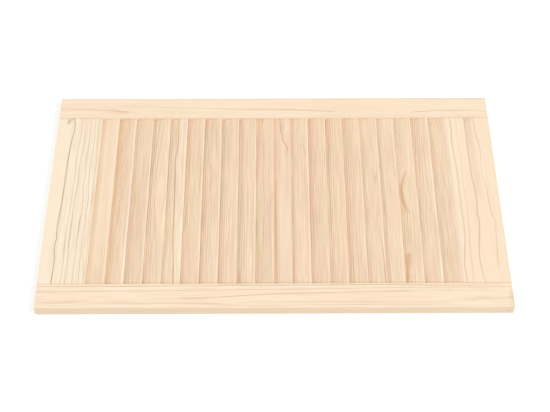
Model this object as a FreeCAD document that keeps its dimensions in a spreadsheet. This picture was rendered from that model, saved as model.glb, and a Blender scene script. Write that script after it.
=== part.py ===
import FreeCAD, Part
import Sketcher
import math
import os
from FreeCAD import Vector

# Louvred cabinet door in pine, lying on its back.
# +X runs down the hung door from its top rail to its bottom rail, +Y from its left stile to its right
# stile as seen from the front, and +Z out of its front face. The back face lies at zero height.

# Sizes that can be set one by one, in millimetres, and two counts
driving_sizes = [
    ("door_width", "394", "across both stiles"),
    ("frame_thickness", "18", "stiles and rails"),
    ("stile_width", "41", "each stile"),
    ("rail_width", "70", "each rail"),
    ("edge_round", "1.5", "radius of the stiles' outer edges"),
    ("inner_bevel", "0.7", "along the frame's edges beside the slats and at the joints"),
    ("end_bevel", "0.6", "at the sawn ends of the stiles and along the rails' outer edges"),
    ("slat_count", "20", "number of slats"),
    ("slat_pitch", "27.5", "from one slat's nose to the next"),
    ("slat_thickness", "5", "also the diameter of a slat's rounded edges"),
    ("slat_overlap", "6", "how far each slat reaches behind the nose above it"),
    ("slat_gap", "0.4", "between neighbouring slats, and between a slat's rounded edge and a rail"),
    ("butt_clearance", "0.05", "round the squared front of the last slat, beside the rail and the stiles"),
    ("nose_recess", "1.2", "from the front face down to the slats' noses"),
    ("slot_depth", "8", "of the mortises in the stiles"),
    ("slot_clearance", "0.15", "all round a slat in its mortise"),
    ("slat_end_clearance", "0.5", "between a slat's end and the bottom of its mortise"),
    ("rebate_clearance", "0.5", "behind the first slat's tail in the top rail"),
    ("dowel_diameter", "8", "beech dowels in the corner joints"),
    ("dowel_length", "40", "half in the rail, half in the stile"),
    ("dowel_chamfer", "1", "length and depth of the taper at both ends of a dowel"),
    ("dowel_clearance", "0.1", "all round a dowel in its hole, for glue"),
    ("dowel_end_clearance", "1", "beyond each end of a dowel, for glue"),
    ("dowel_edge_distance", "18", "from either edge of a rail to the nearer dowel's axis"),
    ("flute_count", "8", "number of glue flutes round a dowel"),
    ("flute_depth", "0.45", "from the crests to the roots of the flutes"),
]

# Sizes that follow from the driving ones
derived_sizes = [
    ("door_height", "2 * Sizes.rail_width + Sizes.slat_count * Sizes.slat_pitch"),
    ("opening_width", "Sizes.door_width - 2 * Sizes.stile_width"),
    ("mid_thickness", "Sizes.frame_thickness / 2"),
    ("slat_tilt", "asin((Sizes.slat_thickness + Sizes.slat_gap) / Sizes.slat_pitch)"),
    ("slat_radius", "Sizes.slat_thickness / 2"),
    ("slat_core", "(Sizes.slat_pitch + Sizes.slat_overlap - Sizes.slat_thickness) / cos(slat_tilt)"),
    ("slat_length", "opening_width + 2 * (Sizes.slot_depth - Sizes.slat_end_clearance)"),
    ("slat_half_height", "slat_radius / cos(slat_tilt)"),
    ("butt_reach", "slat_radius + Sizes.slat_gap - Sizes.butt_clearance"),
    ("butt_rise", "butt_reach * tan(slat_tilt)"),
    ("butt_length", "opening_width - 2 * Sizes.butt_clearance"),
    ("nose_offset", "Sizes.slat_pitch - Sizes.slat_gap - slat_radius"),
    ("first_nose", "Sizes.rail_width + nose_offset - door_height / 2"),
    ("nose_level", "Sizes.frame_thickness - Sizes.nose_recess - slat_radius"),
    ("slot_radius", "slat_radius + Sizes.slot_clearance"),
    ("rebate_width", "Sizes.slat_overlap + Sizes.slat_gap + Sizes.rebate_clearance"),
    ("first_slat_level", "nose_level + slat_half_height - nose_offset * tan(slat_tilt)"),
    ("rebate_level", "first_slat_level + Sizes.slat_gap"),
    ("dowel_radius", "Sizes.dowel_diameter / 2"),
    ("dowel_hole_radius", "dowel_radius + Sizes.dowel_clearance"),
    ("dowel_hole_depth", "Sizes.dowel_length / 2 + Sizes.dowel_end_clearance"),
    ("outer_dowel", "door_height / 2 - Sizes.dowel_edge_distance"),
    ("inner_dowel", "door_height / 2 - Sizes.rail_width + Sizes.dowel_edge_distance"),
]

left, right = -1, 1
top, bottom = -1, 1
touching = 1e-4
half_turn = 180
dowel_total = 8

doc = FreeCAD.newDocument("LouvredDoor")


def fill_sheets():
    sizes = doc.addObject("Spreadsheet::Sheet", "Sizes")
    for row, (alias, number, note) in enumerate(driving_sizes, start=1):
        sizes.set(f"A{row}", note)
        sizes.set(f"B{row}", number)
        sizes.setAlias(f"B{row}", alias)
    layout = doc.addObject("Spreadsheet::Sheet", "Layout")
    for row, (alias, formula) in enumerate(derived_sizes, start=1):
        layout.set(f"A{row}", f"={formula}")
        layout.setAlias(f"A{row}", alias)
        doc.recompute()
    return sizes


def value(expression):
    result = sizes_sheet.evalExpression(expression)
    return getattr(result, "Value", result)


# Steps that every piece shares

def new_body(label):
    body = doc.addObject("PartDesign::Body", label)
    body.Label = label
    return body


def origin_feature(body, role):
    return next(feature for feature in body.Origin.OriginFeatures if feature.Role == role)


def new_sketch(body, name, plane_role):
    sketch = body.newObject("Sketcher::SketchObject", name)
    sketch.AttachmentSupport = [(origin_feature(body, plane_role), "")]
    sketch.MapMode = "FlatFace"
    return sketch


def dimension(sketch, kind, references, expression):
    number = value(expression)
    if kind == "Angle":
        number = math.radians(number)
    index = sketch.addConstraint(Sketcher.Constraint(kind, *references, number))
    sketch.setExpression(f"Constraints[{index}]", expression)


def place_point(sketch, geometry, point, across, up):
    dimension(sketch, "DistanceX", (-1, 1, geometry, point), across)
    dimension(sketch, "DistanceY", (-1, 1, geometry, point), up)


def draw_outline(sketch, corners):
    points = [Vector(value(across), value(up), 0) for across, up in corners]
    lines = []
    for start, end in zip(points, points[1:] + points[:1]):
        lines.append(sketch.addGeometry(Part.LineSegment(start, end)))
    for line, following in zip(lines, lines[1:] + lines[:1]):
        sketch.addConstraint(Sketcher.Constraint("Coincident", line, 2, following, 1))
    for line, (across, up) in zip(lines, corners):
        place_point(sketch, line, 1, across, up)


def draw_circle(sketch, across, up, radius):
    centre = Vector(value(across), value(up), 0)
    circle = sketch.addGeometry(Part.Circle(centre, Vector(0, 0, 1), value(radius)))
    place_point(sketch, circle, 3, across, up)
    dimension(sketch, "Radius", (circle,), radius)


def draw_slat_section(sketch, nose_across, nose_up, radius):
    # Two parallel sides joined by half-round edges, tilted so that the nose stands higher than the tail
    tilt = math.radians(value("Layout.slat_tilt"))
    size = value(radius)
    along = Vector(math.cos(tilt), math.sin(tilt), 0)
    square = Vector(-math.sin(tilt), math.cos(tilt), 0) * size
    nose = Vector(value(nose_across), value(nose_up), 0)
    tail = nose - along * value("Layout.slat_core")
    face = sketch.addGeometry(Part.LineSegment(tail + square, nose + square))
    back = sketch.addGeometry(Part.LineSegment(nose - square, tail - square))
    quarter = math.pi / 2
    nose_circle = Part.Circle(nose, Vector(0, 0, 1), size)
    tail_circle = Part.Circle(tail, Vector(0, 0, 1), size)
    nose_arc = sketch.addGeometry(Part.ArcOfCircle(nose_circle, tilt - quarter, tilt + quarter))
    tail_arc = sketch.addGeometry(Part.ArcOfCircle(tail_circle, tilt + quarter, tilt + 3 * quarter))
    for arc, arc_end, line, line_end in (
        (nose_arc, 2, face, 2),
        (nose_arc, 1, back, 1),
        (tail_arc, 1, face, 1),
        (tail_arc, 2, back, 2),
    ):
        sketch.addConstraint(Sketcher.Constraint("Tangent", arc, arc_end, line, line_end))
    sketch.addConstraint(Sketcher.Constraint("Equal", nose_arc, tail_arc))
    place_point(sketch, nose_arc, 3, nose_across, nose_up)
    dimension(sketch, "Radius", (nose_arc,), radius)
    dimension(sketch, "Distance", (tail_arc, 3, nose_arc, 3), "Layout.slat_core")
    dimension(sketch, "Angle", (face,), "Layout.slat_tilt")


def pad_both_ways(body, sketch, length):
    pad = body.newObject("PartDesign::Pad", "Pad")
    pad.Profile = sketch
    pad.SideType = "Symmetric"
    pad.setExpression("Length", length)
    doc.recompute()


def cut_pocket(body, sketch, name, depth, reverse=False):
    before = body.Tip.Shape.Volume
    pocket = body.newObject("PartDesign::Pocket", name)
    pocket.Profile = sketch
    pocket.Reversed = reverse
    pocket.setExpression("Length", depth)
    doc.recompute()
    if pocket.Shape.Volume >= before:
        raise RuntimeError(f"{body.Label}: {name} cuts nothing")
    return pocket


def edges_of(feature, wanted):
    return [f"Edge{i}" for i, edge in enumerate(feature.Shape.Edges, start=1) if wanted(edge)]


def round_edges(body, name, radius, wanted):
    base = body.Tip
    fillet = body.newObject("PartDesign::Fillet", name)
    fillet.Base = (base, edges_of(base, wanted))
    fillet.setExpression("Radius", radius)
    doc.recompute()


def bevel_edges(body, name, size, wanted):
    base = body.Tip
    chamfer = body.newObject("PartDesign::Chamfer", name)
    chamfer.Base = (base, edges_of(base, wanted))
    chamfer.setExpression("Size", size)
    doc.recompute()


def lies_at(edge, axis, position):
    return all(abs(getattr(vertex.Point, axis) - position) < touching for vertex in edge.Vertexes)


def has_length(edge, length):
    return abs(edge.Length - length) < touching


# The stiles carry a row of tilted mortises for the slats and two dowel holes at each end

def build_stile(label, side):
    # The inner edge, with the mortises, is at y = 0 before the stile is put in its place
    body = new_body(label)
    outer = f"{side} * Sizes.stile_width"
    thickness = "Sizes.frame_thickness"
    profile = new_sketch(body, "Profile", "YZ_Plane")
    draw_outline(profile, [("0", "0"), (outer, "0"), (outer, thickness), ("0", thickness)])
    pad_both_ways(body, profile, "Layout.door_height")
    ease_stile(body, value(outer))
    cut_slat_mortises(body, side)
    holes = new_sketch(body, "DowelHoles", "XZ_Plane")
    for dowel in ("Layout.outer_dowel", "Layout.inner_dowel"):
        for end in (top, bottom):
            draw_circle(holes, f"{end} * {dowel}", "Layout.mid_thickness", "Layout.dowel_hole_radius")
    cut_pocket(body, holes, "DowelBores", "Layout.dowel_hole_depth", reverse=side == left)
    body.setExpression("Placement.Base.y", f"{side} * Layout.opening_width / 2")
    return body


def ease_stile(body, outer):
    length = value("Layout.door_height")

    def on_outside(edge):
        return has_length(edge, length) and lies_at(edge, "y", outer)

    def beside_slats(edge):
        return has_length(edge, length) and lies_at(edge, "y", 0)

    def at_ends(edge):
        return lies_at(edge, "x", length / 2) or lies_at(edge, "x", -length / 2)

    round_edges(body, "OuterRound", "Sizes.edge_round", on_outside)
    bevel_edges(body, "InnerBevel", "Sizes.inner_bevel", beside_slats)
    bevel_edges(body, "EndBevel", "Sizes.end_bevel", at_ends)


def cut_slat_mortises(body, side):
    section = new_sketch(body, "MortiseSection", "XZ_Plane")
    draw_slat_section(section, "Layout.first_nose", "Layout.nose_level", "Layout.slot_radius")
    mortise = cut_pocket(body, section, "Mortise", "Sizes.slot_depth", reverse=side == left)
    row = body.newObject("PartDesign::LinearPattern", "MortiseRow")
    row.Originals = [mortise]
    row.Direction = (section, ["H_Axis"])
    row.setExpression("Length", "(Sizes.slat_count - 1) * Sizes.slat_pitch")
    row.setExpression("Occurrences", "Sizes.slat_count")
    body.Tip = row
    doc.recompute()


# The rails butt against the stiles; the top one is rebated behind for the first slat's tail

def build_top_rail(label):
    shoulder = "Sizes.rail_width - Layout.rebate_width"
    corners = [
        ("0", "0"),
        (shoulder, "0"),
        (shoulder, "Layout.rebate_level"),
        ("Sizes.rail_width", "Layout.rebate_level"),
        ("Sizes.rail_width", "Sizes.frame_thickness"),
        ("0", "Sizes.frame_thickness"),
    ]
    return build_rail(label, top, corners)


def build_bottom_rail(label):
    corners = [
        ("0", "0"),
        ("-Sizes.rail_width", "0"),
        ("-Sizes.rail_width", "Sizes.frame_thickness"),
        ("0", "Sizes.frame_thickness"),
    ]
    return build_rail(label, bottom, corners)


def build_rail(label, end, corners):
    # The outer edge is at x = 0 before the rail is put in its place
    body = new_body(label)
    profile = new_sketch(body, "Profile", "XZ_Plane")
    draw_outline(profile, corners)
    pad_both_ways(body, profile, "Layout.opening_width")
    ease_rail(body, end)
    holes = new_sketch(body, "DowelHoles", "XZ_Plane")
    holes.setExpression("AttachmentOffset.Base.z", "Layout.opening_width / 2")
    for inset in ("Sizes.dowel_edge_distance", "(Sizes.rail_width - Sizes.dowel_edge_distance)"):
        draw_circle(holes, f"{-end} * {inset}", "Layout.mid_thickness", "Layout.dowel_hole_radius")
    bores = cut_pocket(body, holes, "DowelBores", "Layout.dowel_hole_depth")
    mirror = body.newObject("PartDesign::Mirrored", "OppositeBores")
    mirror.Originals = [bores]
    mirror.MirrorPlane = (origin_feature(body, "XZ_Plane"), [""])
    body.Tip = mirror
    doc.recompute()
    body.setExpression("Placement.Base.x", f"{end} * Layout.door_height / 2")
    return body


def ease_rail(body, end):
    # The bottom rail's front edge stays sharp beside the slats, where the last one lies close against it
    length = value("Layout.opening_width")
    inner = -end * value("Sizes.rail_width")

    def beside_slats(edge):
        at_top_rail = end == top and lies_at(edge, "x", inner)
        at_back = lies_at(edge, "z", 0) and not lies_at(edge, "x", 0)
        return has_length(edge, length) and (at_top_rail or at_back)

    def on_outside(edge):
        return has_length(edge, length) and lies_at(edge, "x", 0)

    def at_joints(edge):
        return lies_at(edge, "y", length / 2) or lies_at(edge, "y", -length / 2)

    bevel_edges(body, "InnerBevel", "Sizes.inner_bevel", beside_slats)
    bevel_edges(body, "OuterBevel", "Sizes.end_bevel", on_outside)
    bevel_edges(body, "JointBevel", "Sizes.inner_bevel", at_joints)


# The slats lie one pitch apart with their ends in the stiles' mortises, all alike but for the last

def build_slat(label, number):
    body = new_body(label)
    section = new_sketch(body, "Section", "XZ_Plane")
    draw_slat_section(section, "0", "0", "Layout.slat_radius")
    pad_both_ways(body, section, "Layout.slat_length")
    if number == value("Sizes.slat_count"):
        square_front(body)
    body.setExpression("Placement.Base.x", f"Layout.first_nose + {number - 1} * Sizes.slat_pitch")
    body.setExpression("Placement.Base.z", "Layout.nose_level")
    return body


def square_front(body):
    # Between the stiles the last slat is left square in front, to lie close against the bottom rail
    front = new_sketch(body, "SquareFront", "XZ_Plane")
    draw_outline(front, [
        ("0", "-Layout.slat_half_height"),
        ("Layout.butt_reach", "Layout.butt_rise - Layout.slat_half_height"),
        ("Layout.butt_reach", "Layout.butt_rise + Layout.slat_half_height"),
        ("0", "Layout.slat_half_height"),
    ])
    pad_both_ways(body, front, "Layout.butt_length")


# The dowels pin the corner joints, two in each, with flutes that let the glue out

def draw_fluted_section(sketch, inset):
    # Crests and roots alternate round the dowel, all drawn in by the same inset
    corners = []
    flutes = int(value("Sizes.flute_count"))
    for step in range(2 * flutes):
        depth = "0" if step % 2 == 0 else "Sizes.flute_depth"
        radius = f"(Layout.dowel_radius - {depth} - {inset})"
        angle = f"{half_turn} deg * {step} / {flutes}"
        corners.append((f"{radius} * cos({angle})", f"{radius} * sin({angle})"))
    draw_outline(sketch, corners)


def build_dowel(label, along):
    # A straight fluted length with a tapered end on each side, standing across the top left joint
    body = new_body(label)
    half = "Sizes.dowel_length / 2"
    shoulder = f"{half} - Sizes.dowel_chamfer"
    sections = []
    for name, across, inset in (
        ("FirstEnd", f"-({half})", "Sizes.dowel_chamfer"),
        ("FirstShoulder", f"-({shoulder})", "0"),
        ("SecondShoulder", shoulder, "0"),
        ("SecondEnd", half, "Sizes.dowel_chamfer"),
    ):
        section = new_sketch(body, name, "XZ_Plane")
        section.setExpression("AttachmentOffset.Base.z", across)
        draw_fluted_section(section, inset)
        sections.append(section)
    loft = body.newObject("PartDesign::AdditiveLoft", "FlutedLength")
    loft.Profile = sections[0]
    loft.Sections = sections[1:]
    loft.Ruled = True
    body.setExpression("Placement.Base.x", f"{top} * {along}")
    body.setExpression("Placement.Base.y", f"{left} * Layout.opening_width / 2")
    body.setExpression("Placement.Base.z", "Layout.mid_thickness")
    return body


def mirrored(source, label, normal):
    mirror = doc.addObject("Part::Mirroring", label)
    mirror.Source = source
    mirror.Normal = normal
    return mirror


def build_dowels(label):
    # The pair in the top left joint is mirrored to the right stile, and both pairs to the bottom rail
    pair = doc.addObject("Part::Compound", "top_left_pair")
    pair.Links = [
        build_dowel("outer_dowel", "Layout.outer_dowel"),
        build_dowel("inner_dowel", "Layout.inner_dowel"),
    ]
    top_dowels = doc.addObject("Part::Compound", "top_dowels")
    top_dowels.Links = [pair, mirrored(pair, "top_right_pair", Vector(0, 1, 0))]
    group = doc.addObject("Part::Compound", label)
    group.Label = label
    group.Links = [top_dowels, mirrored(top_dowels, "bottom_dowels", Vector(1, 0, 0))]
    return group


def check_and_write(pieces):
    doc.recompute()
    for item in doc.Objects:
        if "Invalid" in item.State or "Error" in item.State:
            raise RuntimeError(f"{item.Label} failed: {item.State}")
    for piece, solids in pieces:
        shape = piece.Shape
        if shape.isNull() or not shape.isValid() or len(shape.Solids) != solids:
            raise RuntimeError(f"{piece.Label} has no sound shape")
    os.makedirs("parts", exist_ok=True)
    for piece, solids in pieces:
        piece.Shape.exportStep(f"parts/{piece.Label}.step")


sizes_sheet = fill_sheets()
pieces = [
    (build_stile("left_stile", left), 1),
    (build_stile("right_stile", right), 1),
    (build_top_rail("top_rail"), 1),
    (build_bottom_rail("bottom_rail"), 1),
]
for slat_number in range(1, int(value("Sizes.slat_count")) + 1):
    pieces.append((build_slat(f"louvre_slat_{slat_number:02d}", slat_number), 1))
pieces.append((build_dowels("rail_dowels"), dowel_total))
check_and_write(pieces)
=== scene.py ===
import math

import bpy
from mathutils import Matrix, Vector


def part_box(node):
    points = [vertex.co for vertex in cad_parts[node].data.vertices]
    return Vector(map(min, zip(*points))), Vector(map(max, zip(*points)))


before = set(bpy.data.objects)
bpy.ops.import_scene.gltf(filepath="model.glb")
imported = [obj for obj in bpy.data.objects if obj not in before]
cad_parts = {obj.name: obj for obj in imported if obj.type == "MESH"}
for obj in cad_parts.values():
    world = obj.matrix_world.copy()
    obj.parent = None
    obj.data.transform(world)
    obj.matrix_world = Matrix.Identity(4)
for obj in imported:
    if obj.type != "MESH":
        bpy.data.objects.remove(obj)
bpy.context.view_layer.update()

mm = 0.001
railLow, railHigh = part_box("top_rail")
openingHalf = (railHigh.y - railLow.y) / mm / 2     # mm from the door's middle line to a stile
firstLow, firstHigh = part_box("louvre_slat_01")
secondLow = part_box("louvre_slat_02")[0]
slatPitch = (secondLow.x - firstLow.x) / mm         # mm from one slat's nose to the next
print("frame loaded:", len(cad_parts), "nodes")


def linear(hexColour):
    parts = [int(hexColour[i:i + 2], 16) / 255 for i in (1, 3, 5)]
    return [p / 12.92 if p <= 0.04045 else ((p + 0.055) / 1.055) ** 2.4 for p in parts] + [1]


def addNode(tree, kind, links=None, points=(), **settings):
    made = tree.nodes.new(kind)
    for name, value in settings.items():
        setattr(made, name, value)
    for socket, value in (links or {}).items():
        if isinstance(value, bpy.types.NodeSocket):
            tree.links.new(value, made.inputs[socket])
        else:
            made.inputs[socket].default_value = value
    if points:      # only a curve has points of its own
        curve = made.mapping.curves[0].points
        curve[0].location, curve[1].location = points[0], points[-1]
        for point in points[1:-1]:
            curve.new(*point)
        made.mapping.update()
    return made.outputs


# Pine straight from the planer and sander, with no finish on it. Pale, nearly matt, with darker
# summer-growth lines along each board and a silky run of fibres between them.
pineTones = {
    "noseHighlight": "#FFF8EB",  # a nearly white painted highlight along a slat's nose
    "ivory": "#FEEED6",     # the palest sapwood
    "cream": "#FEEACE",     # sapwood
    "peach": "#FDE3C6",
    "rose": "#F8D8BC",      # pinker heartwood
    "straw": "#F7DEBC",     # yellower wood
    "tan": "#E4C8AA",       # soft dull streaks
    "honey": "#EBC9A2",
    "late": "#D2AC88",      # summer growth
    "brown": "#C69A74",     # wood beside a knot
    "russet": "#D9A27C",    # redder wood beside a knot
    "resin": "#B3875F",     # growth lines dark with resin
    "paleInShade": "#F3E9DC",     # a paler, greyer tone painted where slats overlap and on the frame's inner sides, to lift and cool their shade
    "seamAndShade": "#BEA68B",      # glue and dust in the joints, and painted shade at the slats' far ends under the right stile
}

# The pairs of mm are sizes across and along the grain.
pineLook = {
    "seedStep": (3.7, 1.9, 2.3),    # how far one board's patterns are from the next one's
    "fibre": (1.1, 110),    # mm; real fibres are far finer, drawn this coarse to show
    "fibreDepth": 0.07,     # how much the fibres change the colour
    "streak": (2.0, 50),    # mm, short lighter and darker streaks
    "streakDepth": 0.04,
    "streakSoft": 0.13,     # lower is crisper
    "warmth": (0.86, 1, 1.2),   # how much fibres and streaks darken the red, the green and the blue
    "calm": None,           # mm across, from where to where the fibres and streaks die out
    "mottle": (13, 170),    # mm, patches of one tone in the other
    "pale": 0.0,            # share of sapwood all over
    "wander": (22, 160),    # mm, bends of the growth lines
    "wanderBy": 1.2,        # mm
    "jitter": 0.9,          # rings that a growth line may be out of step
    "uneven": 0.37,         # how often that changes, in times per ring
    "ringRise": (0.35, 0.84),   # part of a ring in which it darkens to its summer growth
    "ringFall": (1, 0.88),      # part of a ring in which that ends
    "breaks": (4, 60),      # mm, how a growth line comes and goes
    "breaksBy": (0.4, 1.1),
    "slope": 0.0,           # mm across per mm along
    "ringTilt": 1.1,        # mm across per mm of depth, how the rings lean into the board
    "ringCurve": 0.02,      # mm across per square mm of depth
    "shiver": (9, 45),      # mm, small bends of a drawn line
    "shiverBy": 0.6,        # mm
    "press": (3, 50),       # mm, how a drawn line comes and goes
    "pressBy": (0.72, 1.1),
    "ragAcross": (5, 18),   # mm, ragged edges of a patch
    "ragAcrossBy": 1.2,     # mm
    "ragAlong": (4, 11),    # mm
    "ragAlongBy": 5,        # mm
    "patchEdge": (1.1, 0.2),    # half sizes from its middle, from where to where a patch comes in
    "patchDepth": 30,       # mm
    "roughness": 0.56,
    "roughnessVaries": 0.10,
    "ior": 1.5,
    "relief": 0.05,         # mm, summer growth left proud by the sander
    "fibreRelief": 0.3,     # how proud the fibres stand beside that
    "bump": 0.5,
    "arris": 1.8,           # mm, width of the paler wood where the sander took down an edge, which on the slats' noses is mostly a painted highlight
    "arrisPaleAndHighlight": 0.15,
    "sideTurn": (0.72, 0.9),    # how squarely a surface faces out, from where to where it is a side
    "endShade": 0.16,       # how much darker the sawn ends are
    "sideShade": 0.3,        # how much painted shade darkens the outer sides beside the face
    "sidePaleInShade": 0.6,       # how much of that paler, greyer painted tone the inner sides take, which the slats keep in the shade
    "inward": 1,            # which way along X or Y the inner side faces
    "middle": 0,            # widths from where mm across are counted to the board's middle
    "lapped": False,        # whether slats lie over and under it
    "joints": {},           # at the right (1) or left (-1) stile, mm wide and strength of the seam
    "seamFull": 1 / 3,      # part of a seam's width, beside the stile, where it is darkest
    "lines": [],
    "patches": [],
}


def grainLine(tone, width, *points):
    # a growth line drawn on the face, so many mm wide, through points (mm along, mm across, strength)
    return {"tone": tone, "width": width, "points": points}


def softPatch(tone, strength, middle, halfSize, turn=0):
    # a soft spot, its middle and half size in mm along and across, turned by degrees
    return {"tone": tone, "strength": strength, "middle": middle, "halfSize": halfSize, "turn": turn}


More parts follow.
